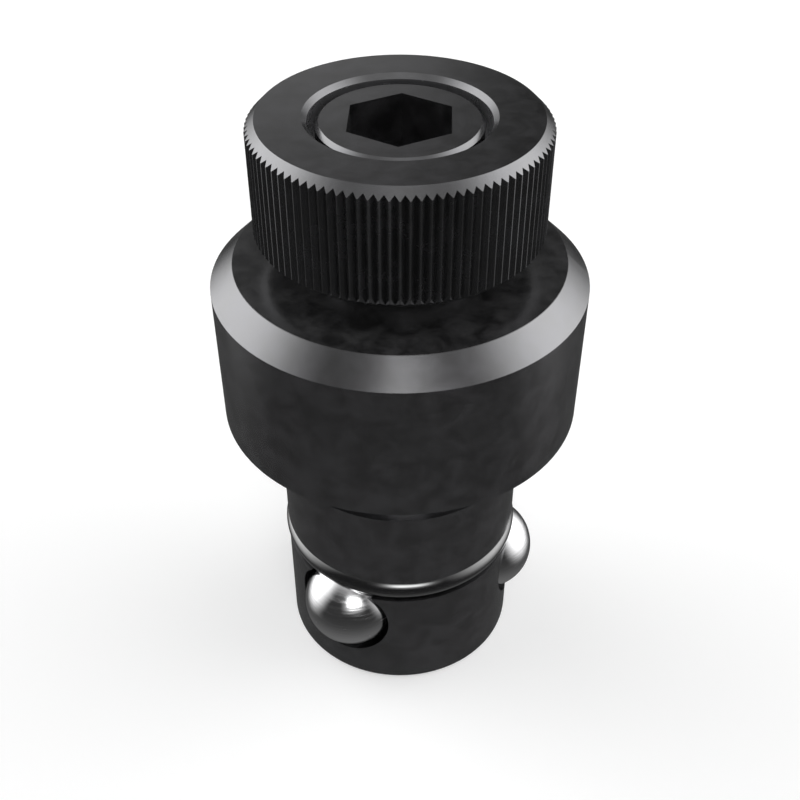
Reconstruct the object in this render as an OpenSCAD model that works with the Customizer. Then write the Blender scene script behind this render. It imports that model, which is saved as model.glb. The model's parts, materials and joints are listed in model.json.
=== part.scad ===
// Quick release pin for a bored fixture table.
// The shank drops into the table's hole until the collar rests on the top. Turning the knurled
// head down drives a cone between three balls, which move out under the table and lock the pin.
// Frame: the origin is the centre of the shank's end face, and +Z runs up the pin to the head.
// It is drawn locked, with the balls out and a gap left between the head and the collar.

/* [Shank] */
// Diameter of the shank
shank_d = 28; // [27:0.5:29]
// Length of the shank under the collar
shank_len = 35; // [34:0.5:60]
// Edge break round the end face
shank_edge = 0.2; // [0.1:0.05:0.5]
// Diameter of the relief between the shank and the collar
neck_relief_d = 25; // [24.5:0.1:26.4]
// Length of that relief under the collar
neck_relief_len = 7; // [3:0.5:9]

/* [Collar] */
// Diameter of the collar
collar_d = 40; // [36:0.5:56]
// Height of the collar
collar_h = 18.7; // [17:0.1:28]
// Chamfer round the collar's top
collar_chamfer = 2.5; // [0.5:0.1:3.5]
// Edge break round the collar's underside
collar_edge = 0.15; // [0.1:0.05:0.6]

/* [Lock balls] */
// Diameter of each ball
ball_d = 11.5; // [10.8:0.1:12]
// How far each locked ball stands out of the shank
ball_out = 2.86; // [2.4:0.02:3]
// Height of the ball centres over the end face
ball_z = 10; // [9:0.1:11]
// Turn of the first ball round the pin, seen from above, from the front
ball_turn = -31.9; // [-60:0.1:60]
// Gap between a ball and its hole
ball_gap = 0.43; // [0.1:0.01:0.5]

/* [Friction ring] */
// Thickness of the rubber ring's cord
ring_cord = 3; // [2.6:0.1:3.4]
// How far the ring stands out of the shank
ring_proud = 0.25; // [0.15:0.05:0.4]
// Height of the ring over the ball centres
ring_rise = 6; // [5.6:0.1:8]

/* [Bore] */
// Diameter of the bore that guides the cone
bore_d = 13.8; // [13.6:0.1:14.4]
// How far the bore runs below the ball holes
bore_below = 0.3; // [0.1:0.1:1]
// Diameter of the relief under the thread
relief_d = 17.4; // [17:0.1:18.4]
// How far the relief runs below the stop ring
relief_below = 0.6; // [0.4:0.1:1.5]
// Chamfer at the mouth of the threaded hole
mouth_chamfer = 0.5; // [0.2:0.1:1]

/* [Screw thread] */
// Outside diameter of the thread, which is drawn plain
thread_d = 16; // [15.6:0.1:16.4]
// Pitch of the thread
thread_pitch = 2; // [1.5:0.25:2]
// Length of the thread in the collar
thread_len = 14; // [12:0.5:15]
// Turns of the head from locked to free
free_turns = 2.5; // [2:0.25:2.5]

/* [Spindle] */
// Diameter of the spindle's end inside the head
boss_d = 16.5; // [16.5:0.1:17.2]
// How far the spindle's end lies below the top of the head
boss_sunk = 0.55; // [0.2:0.05:1.5]
// Chamfer round the spindle's end
boss_chamfer = 0.4; // [0.2:0.05:0.6]
// Diameter of the neck between the thread and the nose
neck_d = 13.2; // [12.8:0.1:13.2]
// Diameter of the nose that turns in the cone
nose_d = 8; // [7:0.1:8.6]
// Length of the nose inside the cone
nose_len = 8; // [7:0.5:9]
// Radius of the rounded end of the nose
nose_dome = 8; // [7:0.5:16]

/* [Hexagon socket] */
// Key size across the flats
key_af = 10; // [8:0.5:11]
// Depth of the socket
key_depth = 9; // [6:0.5:11]
// Turn of the socket from a corner facing the front
key_turn = 1.85; // [-30:0.05:30]
// Depth of the drilled point under the socket
key_point = 2; // [1:0.5:3]

/* [Thrust cone] */
// Angle of the cone's side from the pin's axis
cone_angle = 30; // [27:0.5:31]
// Diameter of the cone's blunt tip
cone_tip_d = 3; // [2:0.1:4]
// Length of the guide above the cone
guide_len = 12; // [11:0.5:14]
// Chamfer round the top of the guide
guide_chamfer = 0.4; // [0.2:0.1:0.8]

/* [Snap rings] */
// Outside diameter of the stop ring under the thread
stop_d = 16.8; // [16.5:0.1:16.8]
// Thickness of the stop ring
stop_h = 1; // [0.8:0.1:1.2]
// Depth of the stop ring's groove in the neck
stop_groove = 0.4; // [0.3:0.05:0.8]
// Space between the stop ring and the end of the thread
stop_space = 1.2; // [0.6:0.1:2]
// Thickness of the wire that holds the nose in the cone
nose_wire = 1.2; // [1:0.05:1.4]
// Height of that wire over the end of the nose
nose_wire_z = 4.4; // [3.5:0.1:5]
// Angle that each snap ring goes round
snap_sweep = 335; // [300:1:350]

/* [Knurled head] */
// Diameter over the knurling
head_d = 30; // [26:0.5:34]
// Height of the head
head_h = 12.7; // [12:0.1:16]
// Gap between the locked head and the collar
head_gap = 3; // [1:0.1:5]
// Chamfer round the top and the bottom of the head
head_chamfer = 1; // [0.5:0.1:1.5]
// Number of teeth round the head
knurl_count = 100; // [60:1:110]
// Width of the flat on each tooth
knurl_land = 0.06; // [0.04:0.01:0.2]
// Angle of the groove between two teeth
knurl_angle = 90; // [80:1:100]
// Diameter of the recess round the spindle's end
recess_d = 18; // [17.8:0.1:22]
// Depth of the recess
recess_depth = 3; // [1:0.1:5]
// Chamfer at the mouth of the recess
recess_chamfer = 0.5; // [0.2:0.05:1]
// Chamfer under the head where the spindle is pressed in
press_chamfer = 0.4; // [0.2:0.05:0.8]

/* [Clearances] */
// Gap round what turns or slides in a bore
running_gap = 0.05; // [0.02:0.01:0.08]
// Gap between a ball and what it bears on
ball_play = 0.05; // [0.02:0.01:0.1]
// Gap round a snap ring in the groove that it runs in
wire_gap = 0.1; // [0.05:0.01:0.15]
// Gap between parts that meet end to end
end_gap = 0.1; // [0.05:0.05:0.3]

/* [Hidden] */
$fn = 96;
// A cutting tool runs past the surface that it cuts
past = 1;
black_steel = "#2b2c2e";
bright_steel = "#8b8d90";
chrome = "#d9dadc";
rubber = "#151515";

// Radii
shank_r = shank_d / 2;
neck_relief_r = neck_relief_d / 2;
collar_r = collar_d / 2;
ball_r = ball_d / 2;
bore_r = bore_d / 2;
thread_r = thread_d / 2;
relief_r = relief_d / 2;
neck_r = neck_d / 2;
nose_r = nose_d / 2;
boss_r = boss_d / 2;
head_r = head_d / 2;
recess_r = recess_d / 2;
stop_r = stop_d / 2;

// Balls and their holes, three round the pin
ball_count = 3;
ball_hole_r = ball_r + ball_gap;
ball_c = shank_r + ball_out - ball_r;
bore_z = ball_z - ball_hole_r - bore_below;

// Friction ring, in a groove that crosses the tops of the ball holes
ring_z = ball_z + ring_rise;
ring_c = shank_r + ring_proud - ring_cord / 2;
groove_w = ring_cord + 2 * running_gap;
groove_r = ring_c - ring_cord / 2 - running_gap;

// The cone's side stays one ball radius and the play away from each ball's centre
cone_point_z = ball_z - (ball_c * cos(cone_angle) - ball_r - ball_play) / sin(cone_angle);
guide_r = bore_r - running_gap;
cone_tip_z = cone_point_z + cone_tip_d / 2 / tan(cone_angle);
cone_top_z = cone_point_z + guide_r / tan(cone_angle);
guide_top_z = cone_top_z + guide_len;

// The nose stands in a socket in the cone, held by a wire that half fills both grooves
socket_r = nose_r + running_gap;
nose_z = guide_top_z - nose_len;
socket_z = nose_z - end_gap;
dome_h = nose_dome - sqrt(nose_dome * nose_dome - nose_r * nose_r);
nose_ring_z = nose_z + nose_wire_z;
nose_ring_c = nose_r + running_gap;
nose_groove_r = nose_ring_c - nose_wire / 2 - running_gap;
socket_groove_r = nose_ring_c + nose_wire / 2 + wire_gap;

// Heights up the pin
collar_top_z = shank_len + collar_h;
head_z = collar_top_z + head_gap;
head_top_z = head_z + head_h;
boss_top_z = head_top_z - boss_sunk;

// The stop ring meets the end of the thread when the head has made its free turns
lift = free_turns * thread_pitch;
hole_r = thread_r + running_gap;
relief_top_z = collar_top_z - thread_len;
stop_z = relief_top_z - end_gap - lift - stop_h;
stop_groove_r = neck_r - stop_groove;
relief_z = stop_z - relief_below;
thread_z = stop_z + stop_h + stop_space;

// Knurling: straight V grooves, as deep as their angle and width make them
knurl_pitch = PI * head_d / knurl_count;
knurl_depth = (knurl_pitch - knurl_land) / 2 / tan(knurl_angle / 2);

function at(radius, angle) = [radius * cos(angle), radius * sin(angle)];

// Outline of the knurling seen from above: two corners on each tooth, one in each groove
function knurl_outline() =
    let (step = 360 / knurl_count, half_land = knurl_land / 2 / head_r * 180 / PI)
    [for (i = [0 : knurl_count - 1], corner = [-1, 1, 2])
        corner == 2
            ? at(head_r - knurl_depth, i * step - 90 + step / 2)
            : at(head_r, i * step - 90 + corner * half_land)];

// Puts what it is given at the centre of ball number i
module at_ball(i) {
    rotate([0, 0, ball_turn - 90 + i * 360 / ball_count])
        translate([ball_c, 0, ball_z])
            children();
}

// Sweeps a section round the axis and leaves the snap ring's opening
module open_ring() {
    rotate([0, 0, (360 - snap_sweep) / 2])
        rotate_extrude(angle = snap_sweep)
            children();
}

// Shank and collar, turned from one bar
module pin_body() {
    color(black_steel)
    difference() {
        rotate_extrude()
            polygon([
                [0, 0],
                [shank_r - shank_edge, 0],
                [shank_r, shank_edge],
                [shank_r, shank_len - neck_relief_len],
                [neck_relief_r, shank_len - neck_relief_len],
                [neck_relief_r, shank_len],
                [collar_r - collar_edge, shank_len],
                [collar_r, shank_len + collar_edge],
                [collar_r, collar_top_z - collar_chamfer],
                [collar_r - collar_chamfer, collar_top_z],
                [0, collar_top_z]
            ]);
        // Bore, thread relief, threaded hole and its chamfered mouth, from the bottom up
        rotate_extrude()
            polygon([
                [0, bore_z],
                [bore_r, bore_z],
                [bore_r, relief_z],
                [relief_r, relief_z],
                [relief_r, relief_top_z],
                [hole_r, relief_top_z],
                [hole_r, collar_top_z - mouth_chamfer],
                [hole_r + mouth_chamfer + past, collar_top_z + past],
                [0, collar_top_z + past]
            ]);
        // Ball holes, from the bore out through the shank
        for (i = [0 : ball_count - 1])
            rotate([0, 0, ball_turn - 90 + i * 360 / ball_count])
                translate([0, 0, ball_z])
                    rotate([0, 90, 0])
                        cylinder(r = ball_hole_r, h = shank_r + past);
        // Groove for the friction ring
        rotate_extrude()
            translate([groove_r, ring_z - groove_w / 2])
                square([shank_r - groove_r + past, groove_w]);
    }
}

// Rubber ring, pressed in where the locked balls bear on it
module friction_ring() {
    color(rubber)
    difference() {
        translate([0, 0, ring_z])
            rotate_extrude()
                translate([ring_c, 0])
                    circle(d = ring_cord);
        for (i = [0 : ball_count - 1])
            at_ball(i)
                sphere(r = ball_r + ball_play);
    }
}

module lock_ball(i) {
    color(chrome)
    at_ball(i)
        sphere(d = ball_d);
}

// Hardened cone that slides in the bore and doesn't turn
module thrust_cone() {
    color(bright_steel)
    rotate_extrude()
        polygon([
            [0, cone_tip_z],
            [cone_tip_d / 2, cone_tip_z],
            [guide_r, cone_top_z],
            [guide_r, guide_top_z - guide_chamfer],
            [guide_r - guide_chamfer, guide_top_z],
            [socket_r, guide_top_z],
            [socket_r, nose_ring_z + nose_wire / 2 + wire_gap],
            [socket_groove_r, nose_ring_z + nose_wire / 2 + wire_gap],
            [socket_groove_r, nose_ring_z - nose_wire / 2 - wire_gap],
            [socket_r, nose_ring_z - nose_wire / 2 - wire_gap],
            [socket_r, socket_z],
            [0, socket_z]
        ]);
}

// Snap ring that keeps the turning nose in the cone
module nose_ring() {
    color(bright_steel)
    translate([0, 0, nose_ring_z])
        open_ring()
            translate([nose_ring_c, 0])
                circle(d = nose_wire);
}

// Screw with a nose at its foot and a hexagon socket in its end
module spindle() {
    color(black_steel)
    difference() {
        union() {
            rotate_extrude()
                polygon([
                    [0, nose_z + dome_h],
                    [nose_r, nose_z + dome_h],
                    [nose_r, nose_ring_z - nose_wire / 2 - running_gap],
                    [nose_groove_r, nose_ring_z - nose_wire / 2 - running_gap],
                    [nose_groove_r, nose_ring_z + nose_wire / 2 + running_gap],
                    [nose_r, nose_ring_z + nose_wire / 2 + running_gap],
                    [nose_r, guide_top_z + end_gap],
                    [neck_r, guide_top_z + end_gap],
                    [neck_r, stop_z],
                    [stop_groove_r, stop_z],
                    [stop_groove_r, stop_z + stop_h],
                    [neck_r, stop_z + stop_h],
                    [neck_r, thread_z],
                    [thread_r, thread_z + thread_r - neck_r],
                    [thread_r, head_z],
                    [boss_r, head_z],
                    [boss_r, boss_top_z - boss_chamfer],
                    [boss_r - boss_chamfer, boss_top_z],
                    [0, boss_top_z]
                ]);
            // Rounded end that bears in the cone
            intersection() {
                translate([0, 0, nose_z + nose_dome])
                    sphere(r = nose_dome);
                translate([0, 0, nose_z])
                    cylinder(r = nose_r, h = dome_h);
            }
        }
        translate([0, 0, boss_top_z - key_depth])
            rotate([0, 0, 90 - key_turn])
                cylinder(d = key_af / cos(30), h = key_depth + past, $fn = 6);
        translate([0, 0, boss_top_z - key_depth - key_point])
            cylinder(r1 = 0, r2 = key_af / 2, h = key_point);
    }
}

// Stop ring that keeps the screw from leaving the collar
module stop_ring() {
    color(bright_steel)
    translate([0, 0, stop_z])
        open_ring()
            translate([stop_groove_r, 0])
                square([stop_r - stop_groove_r, stop_h]);
}

// Knurled ring pressed on the spindle
module knurled_head() {
    color(black_steel)
    translate([0, 0, head_z])
    intersection() {
        linear_extrude(head_h)
            polygon(knurl_outline());
        rotate_extrude()
            polygon([
                [boss_r + press_chamfer, 0],
                [head_r - head_chamfer, 0],
                [head_r + past, head_chamfer + past],
                [head_r + past, head_h - head_chamfer - past],
                [head_r - head_chamfer, head_h],
                [recess_r + recess_chamfer, head_h],
                [recess_r, head_h - recess_chamfer],
                [recess_r, head_h - recess_depth],
                [boss_r, head_h - recess_depth],
                [boss_r, press_chamfer]
            ]);
    }
}

pin_body();
friction_ring();
lock_ball(0);  // ball_1
lock_ball(1);  // ball_2
lock_ball(2);  // ball_3
thrust_cone();
nose_ring();
spindle();
stop_ring();
knurled_head();
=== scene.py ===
import json
import math

import bmesh
import bpy
import numpy as np
from mathutils import Euler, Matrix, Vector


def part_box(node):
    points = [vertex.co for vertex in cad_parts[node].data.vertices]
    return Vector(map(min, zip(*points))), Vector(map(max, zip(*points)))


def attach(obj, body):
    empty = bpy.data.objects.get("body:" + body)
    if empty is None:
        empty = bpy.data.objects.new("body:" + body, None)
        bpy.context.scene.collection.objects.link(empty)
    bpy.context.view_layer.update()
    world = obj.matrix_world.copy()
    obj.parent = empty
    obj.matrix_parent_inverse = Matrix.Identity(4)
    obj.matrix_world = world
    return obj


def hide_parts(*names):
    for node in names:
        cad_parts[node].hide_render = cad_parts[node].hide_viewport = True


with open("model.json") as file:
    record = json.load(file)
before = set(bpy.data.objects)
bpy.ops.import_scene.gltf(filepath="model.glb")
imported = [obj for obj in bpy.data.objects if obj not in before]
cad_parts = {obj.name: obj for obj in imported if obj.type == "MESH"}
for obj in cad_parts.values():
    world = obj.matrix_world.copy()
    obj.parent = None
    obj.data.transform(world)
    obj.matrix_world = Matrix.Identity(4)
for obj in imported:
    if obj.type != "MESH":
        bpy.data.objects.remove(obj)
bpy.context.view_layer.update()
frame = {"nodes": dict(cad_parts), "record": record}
print("frame loaded:", ", ".join(sorted(frame["nodes"])))

mm = 0.001
mergeDistance = 1e-7  # in metres
firstColour, secondColour, mixedColour = 6, 7, 2  # a Mix node's colour sockets


# Lowest and highest z of a CAD node, in mm
def span(node):
    low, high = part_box(node)
    return low[2] / mm, high[2] / mm


# sRGB hex value to the linear colour that a socket takes
def linear(hexColour):
    values = [int(hexColour[i:i + 2], 16) / 255 for i in (1, 3, 5)]
    return tuple(v / 12.92 if v <= 0.04045 else ((v + 0.055) / 1.055) ** 2.4 for v in values) + (1.0,)


# Adds a node. settings are its properties, values go into its sockets, and what is a socket is linked.
def addNode(tree, kind, values=None, **settings):
    node = tree.nodes.new(kind)
    for name, value in settings.items():
        setattr(node, name, value)
    for name, value in (values or {}).items():
        if isinstance(value, bpy.types.NodeSocket):
            tree.links.new(value, node.inputs[name])
        else:
            node.inputs[name].default_value = value
    return node


# Light, floor and camera

studio = {
    "backgroundInMetal": 0.04,  # share of the white background that metal shows
    "groundGrey": 0.135,  # what metal sees straight below it
    "groundCurve": 2.8,
    "skyGrey": 0.88,  # what it sees straight above it
    "skyCurve": 6.0,
}

# Soft panels round the pin. turn is from the front (-Y) towards +X and rise is over the horizon, both in
# degrees. width and height are half angles, and sideEdge and topEdge are how far the sides and ends fade.
softPanels = {
    "left": {
        "turn": -109, "rise": 17, "strength": 2.66,
        "width": 28, "height": 35, "sideEdge": 25.5, "topEdge": 25},
    "right": {
        "turn": 100, "rise": 15.5, "strength": 2.72,
        "width": 33, "height": 33, "sideEdge": 28, "topEdge": 27},
    "front": {
        "turn": -1, "rise": 40, "strength": 1.8,
        "width": 7.5, "height": 8.5, "sideEdge": 7, "topEdge": 15.5},
    "frontGlow": {
        "turn": 7, "rise": 26.5, "strength": 1.1,
        "width": 17.5, "height": 13.5, "sideEdge": 16, "topEdge": 12.5},
    "frontCore": {
        "turn": 8, "rise": 33, "strength": 4.6,
        "width": 14, "height": 9.5, "sideEdge": 8, "topEdge": 7},
    "back": {
        "turn": -152, "rise": 10.5, "strength": 0.42,
        "width": 30, "height": 17.5, "sideEdge": 4, "topEdge": 6},
}


# Directions from the pin to a panel's middle, along its width and up its height
def panelAxes(turn, rise):
    t, r = math.radians(turn), math.radians(rise)
    ahead = (math.sin(t) * math.cos(r), -math.cos(t) * math.cos(r), math.sin(r))
    across = (math.cos(t), math.sin(t), 0.0)
    upwards = tuple(-np.cross(across, ahead))
    return ahead, across, upwards


# Brightness of one panel over direction: full inside its angles, then a smooth fade over each edge. The
# angle off the middle is the arctangent of the direction's part along an axis over its part ahead.
def addPanel(tree, direction, panel):
    ahead, across, upwards = panelAxes(panel["turn"], panel["rise"])
    depth = addNode(tree, "ShaderNodeVectorMath", {0: direction, 1: ahead}, operation="DOT_PRODUCT")
    light = panel["strength"]
    for axis, half, edge in (
        (across, panel["width"], panel["sideEdge"]),
        (upwards, panel["height"], panel["topEdge"]),
    ):
        side = addNode(tree, "ShaderNodeVectorMath", {0: direction, 1: axis}, operation="DOT_PRODUCT")
        angle = addNode(tree, "ShaderNodeMath", {
            0: side.outputs["Value"], 1: depth.outputs["Value"]}, operation="ARCTAN2")
        size = addNode(tree, "ShaderNodeMath", {0: angle.outputs[0]}, operation="ABSOLUTE")
        light = addNode(tree, "ShaderNodeMapRange", {
            "Value": size.outputs[0],
            "From Min": math.radians(half - edge),
            "From Max": math.radians(half + edge),
            "To Min": light,
            "To Max": 0.0,
        }, interpolation_type="SMOOTHSTEP").outputs["Result"]
    return light


def makeWorld():
    world = bpy.data.worlds.new("softStudio")
    world.use_nodes = True
    tree = world.node_tree
    tree.nodes.clear()
    direction = addNode(tree, "ShaderNodeTexCoord").outputs["Generated"]
    height = addNode(tree, "ShaderNodeSeparateXYZ", {0: direction}).outputs["Z"]
    # The ground and the sky each grow from nothing at the horizon, as a power of the height
    levels = []
    for sign, grey, curve in (
        (-1.0, studio["groundGrey"], studio["groundCurve"]),
        (1.0, studio["skyGrey"], studio["skyCurve"]),
    ):
        away = addNode(tree, "ShaderNodeMath", {0: height, 1: sign}, operation="MULTIPLY", use_clamp=True)
        curved = addNode(tree, "ShaderNodeMath", {0: away.outputs[0], 1: curve}, operation="POWER")
        level = addNode(tree, "ShaderNodeMath", {0: curved.outputs[0], 1: grey}, operation="MULTIPLY")
        levels.append(level.outputs[0])
    levels += [addPanel(tree, direction, panel) for panel in softPanels.values()]
    total = levels[0]
    for level in levels[1:]:
        total = addNode(tree, "ShaderNodeMath", {0: total, 1: level}, operation="ADD").outputs[0]
    light = addNode(tree, "ShaderNodeBackground", {"Color": total, "Strength": 1.0})
    white = addNode(tree, "ShaderNodeBackground", {"Color": (1, 1, 1, 1), "Strength": 1.0})
    # The camera and glass see the white background, and metal sees a share of it
    rays = addNode(tree, "ShaderNodeLightPath").outputs
    clear = addNode(tree, "ShaderNodeMath", {
        0: rays["Is Camera Ray"], 1: rays["Is Transmission Ray"]}, operation="MAXIMUM")
    seen = addNode(tree, "ShaderNodeMath", {
        0: rays["Is Glossy Ray"], 1: studio["backgroundInMetal"], 2: clear.outputs[0]},
        operation="MULTIPLY_ADD")
    shown = addNode(tree, "ShaderNodeMixShader", {
        0: seen.outputs[0], 1: light.outputs[0], 2: white.outputs[0]})
    addNode(tree, "ShaderNodeOutputWorld", {"Surface": shown.outputs[0]})
    bpy.context.scene.world = world


floorSetup = {
    "size": 3.0,
    "colour": "#ededed",
    "glow": 0.25,  # lifts the floor to white for the camera alone
}


def makeFloor():
    half = floorSetup["size"] / 2
    mesh = bpy.data.meshes.new("floor")
    corners = [(-half, -half, 0), (half, -half, 0), (half, half, 0), (-half, half, 0)]
    mesh.from_pydata(corners, [], [(0, 1, 2, 3)])
    floor = bpy.data.objects.new("floor", mesh)
    bpy.context.scene.collection.objects.link(floor)
    material = bpy.data.materials.new("paleFloor")
    material.use_nodes = True
    tree = material.node_tree
    tree.nodes.clear()
    pale = addNode(tree, "ShaderNodeBsdfDiffuse", {"Color": linear(floorSetup["colour"])})
    rays = addNode(tree, "ShaderNodeLightPath").outputs
    seen = addNode(tree, "ShaderNodeMath", {
        0: rays["Is Camera Ray"], 1: floorSetup["glow"]}, operation="MULTIPLY")
    glow = addNode(tree, "ShaderNodeEmission", {"Strength": seen.outputs[0]})
    both = addNode(tree, "ShaderNodeAddShader", {0: pale.outputs[0], 1: glow.outputs[0]})
    addNode(tree, "ShaderNodeOutputMaterial", {"Surface": both.outputs[0]})
    mesh.materials.append(material)
    floor.visible_glossy = False  # metal sees the darker ground of the world instead


cameraSetup = {
    "lensMm": 50,
    "sensorMm": 36,
    "lookDown": 39.92,  # degrees below the horizon
    "distance": 0.12917,
    "aimHeight": 0.03368,
    "nearest": 0.005,
    "farthest": 10.0,
}


def makeCamera():
    data = bpy.data.cameras.new("camera")
    data.lens = cameraSetup["lensMm"]
    data.sensor_width = cameraSetup["sensorMm"]
    data.clip_start = cameraSetup["nearest"]
    data.clip_end = cameraSetup["farthest"]
    camera = bpy.data.objects.new("camera", data)
    bpy.context.scene.collection.objects.link(camera)
    down = math.radians(cameraSetup["lookDown"])
    camera.location = (
        0.0,
        -cameraSetup["distance"] * math.cos(down),
        cameraSetup["aimHeight"] + cameraSetup["distance"] * math.sin(down),
    )
    camera.rotation_euler = Euler((math.pi / 2 - down, 0.0, 0.0))
    bpy.context.scene.camera = camera


bpy.context.scene.view_settings.view_transform = "Standard"
makeWorld()
makeFloor()
makeCamera()
print("light, floor and camera made")


# Materials

# Patterns go by Object coordinates, so their scale is one over a size in metres
def newMaterial(name):
    material = bpy.data.materials.new(name)
    material.use_nodes = True
    tree = material.node_tree
    tree.nodes.clear()
    place = addNode(tree, "ShaderNodeTexCoord").outputs["Object"]
    return material, tree, place


# Rings on a side lie further apart than on an end, because the height counts for less than the radius
ringHeightShare = 0.6


# Noise over the distance from the pin's axis plus a share of the height, so that lines of equal value are
# rings both on a side and on an end
def addRings(tree, place, pitchMm):
    flat = addNode(tree, "ShaderNodeVectorMath", {0: place, 1: (1.0, 1.0, 0.0)}, operation="MULTIPLY")
    radius = addNode(tree, "ShaderNodeVectorMath", {0: flat.outputs[0]}, operation="LENGTH")
    height = addNode(tree, "ShaderNodeSeparateXYZ", {0: place}).outputs["Z"]
    along = addNode(tree, "ShaderNodeMath", {
        0: height, 1: ringHeightShare, 2: radius.outputs["Value"]}, operation="MULTIPLY_ADD")
    return addNode(tree, "ShaderNodeTexNoise", {
        "W": along.outputs[0], "Scale": 1 / (pitchMm * mm), "Detail": 1.0},
        noise_dimensions="1D").outputs[0]


# Black oxide on turned steel: a thin dark layer that still mirrors softly. Uneven blackening leaves it a
# little cloudy, and under it lie the rings that the turning tool left.
blackSteel = {
    "clearColour": "#79797a",
    "clearMetallic": 0.984,
    "sootyColour": "#7d7d7f",  # a sootier patch mirrors as much, and its black shows through more
    "sootyMetallic": 0.933,
    "cloudMm": 2.4,
    "cloudDetail": 3.0,
    "cloudRoughness": 0.6,
    "cloudSwirl": 0.4,
    "cloudClear": 0.36,  # noise level up to which a patch is clear
    "cloudSooty": 0.66,  # and from which it is sooty
    "smooth": 0.21,
    "rough": 0.23,
    "grainMm": 0.14,  # coarser than the real grain of the blackening
    "grainDepthMm": 0.0012,
    "feedMm": 0.3,  # real feed marks are near 0.1 mm and wouldn't show
    "feedDepthMm": 0.0010,
}

# Painted light on the collar's top under the head: less metallic, so its colour lifts the shade there
paintedLiftTop = {
    "colour": "#656566",
    "clearMetallic": 0.92,
    "sootyMetallic": 0.74,
    "depthMm": 0.05,  # how far under the highest point the top still counts
}

# Rolled knurling has next to no grain or turning rings. Its flanks carry painted shade, darker and duller
# than the tips, standing in for the shade deep in the grooves.
paintedShadeFlanks = dict(
    blackSteel, clearColour="#59595a", sootyColour="#5b5b5d", clearMetallic=0.95, sootyMetallic=0.938,
    rough=0.3, grainDepthMm=0.0001, feedDepthMm=0.0001)
tipSteel = dict(blackSteel, sootyMetallic=0.96, grainDepthMm=0.0001, feedDepthMm=0.0001)

# Painted light in the head's recess: less metallic, so its colour lifts the shade there
paintedLitRecess = dict(
    paintedShadeFlanks, clearColour="#6c6c6e", sootyColour="#707072", clearMetallic=0.72, sootyMetallic=0.68)


# What lies over the height topMm, if one is given, gets the painted light of the collar's top
def makeBlackSteel(name, look, topMm=None):
    material, tree, place = newMaterial(name)
    cloud = addNode(tree, "ShaderNodeTexNoise", {
        "Vector": place, "Scale": 1 / (look["cloudMm"] * mm), "Detail": look["cloudDetail"],
        "Roughness": look["cloudRoughness"], "Distortion": look["cloudSwirl"]}).outputs[0]
    patch = addNode(tree, "ShaderNodeMapRange", {
        "Value": cloud, "From Min": look["cloudClear"], "From Max": look["cloudSooty"]}).outputs[0]
    colour = addNode(tree, "ShaderNodeMix", {
        "Factor": patch, firstColour: linear(look["clearColour"]),
        secondColour: linear(look["sootyColour"])}, data_type="RGBA").outputs[mixedColour]
    metallic = addNode(tree, "ShaderNodeMapRange", {
        "Value": patch, "To Min": look["clearMetallic"], "To Max": look["sootyMetallic"]}).outputs[0]
    # Painted light: over topMm a less metallic finish lifts the shade
    if topMm is not None:
        height = addNode(tree, "ShaderNodeSeparateXYZ", {0: place}).outputs["Z"]
        paintedLiftMask = addNode(tree, "ShaderNodeMath", {
            0: height, 1: topMm * mm}, operation="GREATER_THAN").outputs[0]
        colour = addNode(tree, "ShaderNodeMix", {
            "Factor": paintedLiftMask, firstColour: colour,
            secondColour: linear(paintedLiftTop["colour"])}, data_type="RGBA").outputs[mixedColour]
        paintedLiftMetallic = addNode(tree, "ShaderNodeMapRange", {
            "Value": patch, "To Min": paintedLiftTop["clearMetallic"],
            "To Max": paintedLiftTop["sootyMetallic"]}).outputs[0]
        metallic = addNode(tree, "ShaderNodeMapRange", {
            "Value": paintedLiftMask, "To Min": metallic, "To Max": paintedLiftMetallic}).outputs[0]
    roughness = addNode(tree, "ShaderNodeMapRange", {
        "Value": patch, "To Min": look["smooth"], "To Max": look["rough"]}).outputs[0]
    grain = addNode(tree, "ShaderNodeTexNoise", {
        "Vector": place, "Scale": 1 / (look["grainMm"] * mm), "Detail": 1.0}).outputs[0]
    grained = addNode(tree, "ShaderNodeBump", {
        "Height": grain, "Strength": 1.0, "Distance": look["grainDepthMm"] * mm}).outputs[0]
    marked = addNode(tree, "ShaderNodeBump", {
        "Height": addRings(tree, place, look["feedMm"]), "Strength": 1.0,
        "Distance": look["feedDepthMm"] * mm, "Normal": grained}).outputs[0]
    surface = addNode(tree, "ShaderNodeBsdfPrincipled", {
        "Base Color": colour, "Metallic": metallic, "Roughness": roughness, "Normal": marked})
    addNode(tree, "ShaderNodeOutputMaterial", {"Surface": surface.outputs[0]})
    return material


# Bearing steel, lapped and polished: a clear mirror with the faintest polishing streaks
ballSteel = {
    "colour": "#dcdcdd",
    "smooth": 0.08,
    "rough": 0.28,
    "streakMm": 0.22,  # real ones are finer and wouldn't show
    "streakLengthMm": 2.5,
    "streakDepthMm": 0.012,
    "streakSmooth": 0.38,  # noise level up to which the ball is smooth
    "streakRough": 0.75,  # and from which it is rough
}


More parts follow.
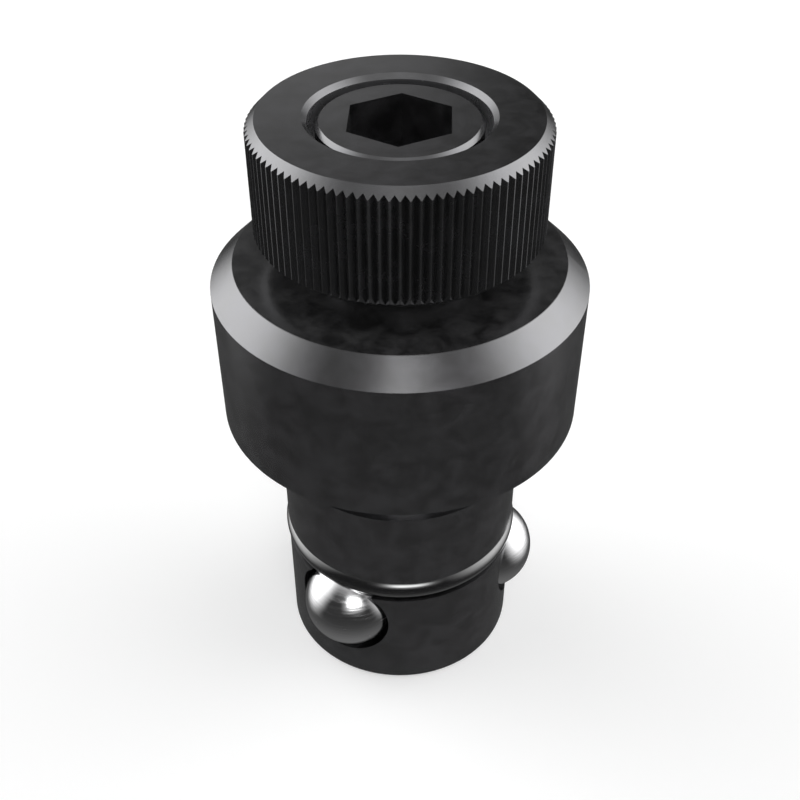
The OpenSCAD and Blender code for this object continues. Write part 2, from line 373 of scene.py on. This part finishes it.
def makeBallSteel():
    material, tree, place = newMaterial("polishedBearingSteel")
    lengthwise, crosswise = (1 / (ballSteel[key] * mm) for key in ("streakLengthMm", "streakMm"))
    stretched = addNode(tree, "ShaderNodeVectorMath", {
        0: place, 1: (lengthwise, lengthwise, crosswise)}, operation="MULTIPLY").outputs[0]
    streak = addNode(tree, "ShaderNodeTexNoise", {
        "Vector": stretched, "Scale": 1.0, "Detail": 2.0}).outputs[0]
    roughness = addNode(tree, "ShaderNodeMapRange", {
        "Value": streak, "From Min": ballSteel["streakSmooth"], "From Max": ballSteel["streakRough"],
        "To Min": ballSteel["smooth"], "To Max": ballSteel["rough"]}).outputs[0]
    bump = addNode(tree, "ShaderNodeBump", {
        "Height": streak, "Strength": 1.0, "Distance": ballSteel["streakDepthMm"] * mm}).outputs[0]
    surface = addNode(tree, "ShaderNodeBsdfPrincipled", {
        "Base Color": linear(ballSteel["colour"]), "Metallic": 1.0,
        "Roughness": roughness, "Normal": bump})
    addNode(tree, "ShaderNodeOutputMaterial", {"Surface": surface.outputs[0]})
    return material


# Nitrile rubber, moulded and oiled: deep black with a wet gloss
rubber = {
    "colour": "#121213",
    "ior": 1.7,
    "oilCover": 0.85,
    "oilRoughness": 0.10,
    "smooth": 0.12,
    "rough": 0.18,
    "patchMm": 1.2,
    "patchSmooth": 0.3,
    "patchRough": 0.7,
}


def makeRubber():
    material, tree, place = newMaterial("oiledNitrileRubber")
    patch = addNode(tree, "ShaderNodeTexNoise", {
        "Vector": place, "Scale": 1 / (rubber["patchMm"] * mm), "Detail": 2.0}).outputs[0]
    roughness = addNode(tree, "ShaderNodeMapRange", {
        "Value": patch, "From Min": rubber["patchSmooth"], "From Max": rubber["patchRough"],
        "To Min": rubber["smooth"], "To Max": rubber["rough"]}).outputs[0]
    surface = addNode(tree, "ShaderNodeBsdfPrincipled", {
        "Base Color": linear(rubber["colour"]), "Roughness": roughness, "IOR": rubber["ior"],
        "Specular IOR Level": 1.0, "Coat Weight": rubber["oilCover"],
        "Coat Roughness": rubber["oilRoughness"]})
    addNode(tree, "ShaderNodeOutputMaterial", {"Surface": surface.outputs[0]})
    return material


# Hardened steel, ground round the axis: bright and finely lined
groundSteel = {
    "colour": "#b4b4b6",
    "lightLine": "#c6c6c8",
    "smooth": 0.24,
    "rough": 0.36,
    "lineMm": 0.12,  # coarser than real grinding lines, so that they show
    "lineDepthMm": 0.0008,
}


def makeGroundSteel():
    material, tree, place = newMaterial("groundSteel")
    rings = addRings(tree, place, groundSteel["lineMm"])
    colour = addNode(tree, "ShaderNodeMix", {
        "Factor": rings, firstColour: linear(groundSteel["colour"]),
        secondColour: linear(groundSteel["lightLine"])}, data_type="RGBA").outputs[mixedColour]
    roughness = addNode(tree, "ShaderNodeMapRange", {
        "Value": rings, "To Min": groundSteel["smooth"], "To Max": groundSteel["rough"]}).outputs[0]
    bump = addNode(tree, "ShaderNodeBump", {
        "Height": rings, "Strength": 1.0, "Distance": groundSteel["lineDepthMm"] * mm}).outputs[0]
    surface = addNode(tree, "ShaderNodeBsdfPrincipled", {
        "Base Color": colour, "Metallic": 1.0, "Roughness": roughness, "Normal": bump})
    addNode(tree, "ShaderNodeOutputMaterial", {"Surface": surface.outputs[0]})
    return material


finishes = {
    "black_steel": makeBlackSteel("blackOxideSteel", blackSteel),
    "ball_steel": makeBallSteel(),
    "rubber": makeRubber(),
    "bright_steel": makeGroundSteel(),
}
headFinishes = [
    makeBlackSteel("blackOxideFlanksPaintedShade", paintedShadeFlanks),
    makeBlackSteel("knurlTipBlackOxide", tipSteel),
    makeBlackSteel("blackOxidePaintedLitRecess", paintedLitRecess),
]
# The pin body's finish has painted light on the collar's top
bodyFinish = makeBlackSteel(
    "blackOxideSteelPaintedLitTop", blackSteel, span("pin_body")[1] - paintedLiftTop["depthMm"])
slotOf = {part["node"]: part["material_slot"] for part in frame["record"]["subparts"]}
for name, node in frame["nodes"].items():
    node.data.materials.clear()
    node.data.materials.append(bodyFinish if name == "pin_body" else finishes[slotOf[name]])
print("finishes made:", ", ".join(finishes))


# Pieces worked out as surfaces, in millimetres

# Rows of radius and rows of height from a list of rings. Either value of a ring is one number, or one for
# each column.
def ringRows(rings, columns):
    return [np.stack([np.broadcast_to(value, columns) for value in values]) for values in zip(*rings)]


# A surface from a grid of points: each row runs round the axis and its last point meets its first. Doubled
# points are merged, which closes the seam and the ends that run into the axis. A grid of finish numbers, one
# a face, gives 0 the node's own finish and 1 and up the extra ones. sharpOver is in degrees.
def makePiece(name, x, y, z, body, node, finishGrid=None, extraFinishes=(), sharpOver=28):
    x, y, z = np.broadcast_arrays(x, y, z)
    rows, columns = x.shape
    points = np.stack([x, y, z], axis=-1).reshape(-1, 3) * mm
    number = np.arange(rows * columns).reshape(rows, columns)
    corners = [number[:-1, :-1], number[:-1, 1:], number[1:, 1:], number[1:, :-1]]
    faces = np.stack(corners, axis=-1).reshape(-1, 4)
    mesh = bpy.data.meshes.new(name)
    mesh.from_pydata(points.tolist(), [], faces.tolist())
    for material in (finishes[slotOf[node]], *extraFinishes):
        mesh.materials.append(material)
    if finishGrid is not None:
        mesh.polygons.foreach_set("material_index", finishGrid.ravel().astype(np.int32))
    work = bmesh.new()
    work.from_mesh(mesh)
    bmesh.ops.remove_doubles(work, verts=work.verts, dist=mergeDistance)
    work.to_mesh(mesh)
    work.free()
    mesh.shade_smooth()
    mesh.set_sharp_from_angle(angle=math.radians(sharpOver))
    piece = bpy.data.objects.new(name, mesh)
    bpy.context.scene.collection.objects.link(piece)
    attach(piece, body)
    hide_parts(node)


# Balls
ballShape = {
    "rows": 73,
    "columns": 145,
}


# Points at the radius from the ball's centre: z is the radius times the sine of the rise, and x and y go
# round a circle of the radius times its cosine
def makeBall(number):
    node = "ball_%d" % number
    low, high = (np.array(corner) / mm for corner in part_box(node))
    centre = (low + high) / 2
    radius = (high[2] - low[2]) / 2
    rise = np.linspace(-math.pi / 2, math.pi / 2, ballShape["rows"])[:, None]
    turn = np.linspace(0, 2 * math.pi, ballShape["columns"])[None, :]
    flat = radius * np.cos(rise)
    x, y = centre[0] + flat * np.cos(turn), centre[1] + flat * np.sin(turn)
    makePiece("polishedBall%d" % number, x, y, centre[2] + radius * np.sin(rise), node, node)


for number in (1, 2, 3):
    makeBall(number)
print("balls made")


# Knurled head, in mm
headShape = {
    "teeth": 100,
    "tipWidth": 0.1,  # the flat on each tooth
    "grooveAngle": 90,
    "chamfer": 1.0,
    "recessDiameter": 18.0,
    "recessDepth": 3.0,
    "recessChamfer": 0.5,
    "boreDiameter": 16.5,
    "boreChamfer": 0.4,
}
onFlank, onTip, inRecess = 1, 2, 3  # places in headFinishes, from 1


# One tooth from above: a narrow flat tip, then a straight flank down to the root half a pitch away. The root
# is as deep as the flank's width over the tangent of half the groove's angle. Gives how far each point lies
# across from the tip and how deep.
def toothProfile(pitch):
    half = headShape["tipWidth"] / 2
    deepest = (pitch / 2 - half) / math.tan(math.radians(headShape["grooveAngle"] / 2))
    return np.array([-half, half, pitch / 2]), np.array([0.0, 0.0, deepest])


# Points at each ring's radius and height: x is the radius times the sine of the turn from the front, and y is
# minus the radius times its cosine
def makeKnurledHead():
    bottom, top = span("knurled_head")
    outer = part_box("knurled_head")[1][0] / mm
    pitch = 2 * math.pi * outer / headShape["teeth"]
    across, deep = toothProfile(pitch)
    turn = (np.arange(headShape["teeth"])[:, None] * pitch + across[None, :]).ravel() / outer
    edge = outer - np.tile(deep, headShape["teeth"])
    turn, edge = np.append(turn, turn[0] + 2 * math.pi), np.append(edge, edge[0])
    chamfer, lip = headShape["chamfer"], headShape["recessChamfer"]
    recess, bore = headShape["recessDiameter"] / 2, headShape["boreDiameter"] / 2
    floor = top - headShape["recessDepth"]
    # Each ring's radius and height. The knurling meets each chamfer where their radii are equal.
    rings = [
        (bore, bottom + headShape["boreChamfer"]),
        (bore + headShape["boreChamfer"], bottom),
        (outer - chamfer, bottom),
        (edge, bottom + chamfer - (outer - edge)),
        (edge, top - chamfer + (outer - edge)),
        (outer - chamfer, top),
        (recess + lip, top),
        (recess, top - lip),
        (recess, floor),
        (bore, floor),
        (bore, bottom + headShape["boreChamfer"]),
    ]
    knurlBand, recessWall, recessFloor = 3, 7, 8  # each between the ring of that number and the next
    radius, height = ringRows(rings, len(edge))
    tips = np.arange(len(edge) - 1) % len(deep) == 0
    finishGrid = np.zeros((len(rings) - 1, len(edge) - 1))
    # The flanks take the finish with painted groove shade
    finishGrid[knurlBand] = np.where(tips, onTip, onFlank)
    # The recess wall and floor take the finish with painted light
    finishGrid[[recessWall, recessFloor]] = inRecess
    x, y = radius * np.sin(turn), -radius * np.cos(turn)
    makePiece("knurledGrip", x, y, height, "screw", "knurled_head", finishGrid, headFinishes)


makeKnurledHead()
print("knurled head made")


# Spindle, in mm
spindleShape = {
    "columns": 192,
    "threadDiameter": 16.0,
    "threadPitch": 2.0,
    "threadAngle": 60,
    "threadDepth": 1.15,
    "threadCrest": 0.25,
    "rowsPerPitch": 16,
    "runOut": 1.2,  # where the thread fades out under the head
    "neckDiameter": 13.2,
    "noseDiameter": 8.0,
    "noseRadius": 8.0,
    "noseRows": 9,
    "noseGroove": 1.3,
    "noseGrooveDepth": 0.6,
    "stopGrooveDepth": 0.4,
    "threadStart": 1.2,  # over the stop ring
    "noseGap": 0.1,
    "bossDiameter": 16.5,
    "bossChamfer": 0.4,
    "keyAcrossFlats": 10.0,
    "keyDepth": 9.0,
    "keyPoint": 2.0,
    "drillDiameter": 9.7,
    "keyTurn": 1.85,  # degrees from a corner at the front
    "sharpOver": 15,
}


# Radius of the thread at a turn and a height. The phase is the share of a pitch from the middle of a crest,
# and the flanks drop at the thread's angle to each other from the flat crest to the flat root.
def threadRadius(turn, height):
    s = spindleShape
    phase = (height / s["threadPitch"] - turn / (2 * math.pi) + 0.5) % 1.0 - 0.5
    across = np.abs(phase) * s["threadPitch"] - s["threadCrest"] / 2
    deep = np.clip(across / math.tan(math.radians(s["threadAngle"] / 2)), 0, s["threadDepth"])
    return s["threadDiameter"] / 2 - deep


# Points at each row's radius and height: x is the radius times the sine of the turn from the front, and y is
# minus the radius times its cosine
def makeSpindle():
    s = spindleShape
    bottom, top = span("spindle")
    guideTop = span("thrust_cone")[1] + s["noseGap"]
    wire = sum(span("nose_ring")) / 2
    stopLow, stopHigh = span("stop_ring")
    headLow = span("knurled_head")[0]
    nose, neck, boss = s["noseDiameter"] / 2, s["neckDiameter"] / 2, s["bossDiameter"] / 2
    corner = math.radians(-s["keyTurn"])
    turn = corner + np.linspace(0, 2 * math.pi, s["columns"] + 1)

    # Foot: a round end of noseRadius, then the grooves of the two snap rings
    dome = np.linspace(0, nose, s["noseRows"])
    foot = [(r, bottom + s["noseRadius"] - math.sqrt(s["noseRadius"] ** 2 - r * r)) for r in dome]
    wireLow, wireHigh = wire - s["noseGroove"] / 2, wire + s["noseGroove"] / 2
    noseRoot, stopRoot = nose - s["noseGrooveDepth"], neck - s["stopGrooveDepth"]
    foot += [(nose, wireLow), (noseRoot, wireLow), (noseRoot, wireHigh), (nose, wireHigh)]
    foot += [(nose, guideTop), (neck, guideTop)]
    foot += [(neck, stopLow), (stopRoot, stopLow), (stopRoot, stopHigh), (neck, stopHigh)]

    # Thread: the rows climb one pitch a turn and are cut off flat at both ends
    low, high = stopHigh + s["threadStart"], headLow
    climb = (turn - corner) / (2 * math.pi) * s["threadPitch"]
    count = int((high - low) / s["threadPitch"] + 2) * s["rowsPerPitch"]
    rise = (np.arange(count) / s["rowsPerPitch"] - 1)[:, None] * s["threadPitch"]
    threadHeight = np.clip(low + rise + climb[None, :], low, high)
    cut = threadRadius(turn[None, :], threadHeight)
    plain = s["threadDiameter"] / 2
    fade = np.clip((high - threadHeight) / s["runOut"], 0, 1)
    cut = plain - (plain - cut) * fade
    cut = np.minimum(cut, neck + threadHeight - low)  # lead-in chamfer

    # Top: the boss, then the hexagon socket with its drilled point. The hexagon's radius is half its width
    # across flats over the cosine of the turn from the middle of the nearest flat.
    sixth = math.radians(60)
    fromFlat = (turn - corner) % sixth - sixth / 2
    hexagon = s["keyAcrossFlats"] / 2 / np.cos(fromFlat)
    socket = top - s["keyDepth"]
    end = [
        (boss, high),
        (boss, top - s["bossChamfer"]),
        (boss - s["bossChamfer"], top),
        (hexagon, top),
        (hexagon, socket),
        (s["drillDiameter"] / 2, socket),
        (0, socket - s["keyPoint"]),
    ]
    footRadius, footHeight = ringRows(foot, len(turn))
    endRadius, endHeight = ringRows(end, len(turn))
    radius = np.concatenate([footRadius, cut, endRadius])
    height = np.concatenate([footHeight, threadHeight, endHeight])
    x, y = radius * np.sin(turn), -radius * np.cos(turn)
    makePiece("threadedSpindle", x, y, height, "screw", "spindle", sharpOver=s["sharpOver"])


makeSpindle()
print("spindle made")
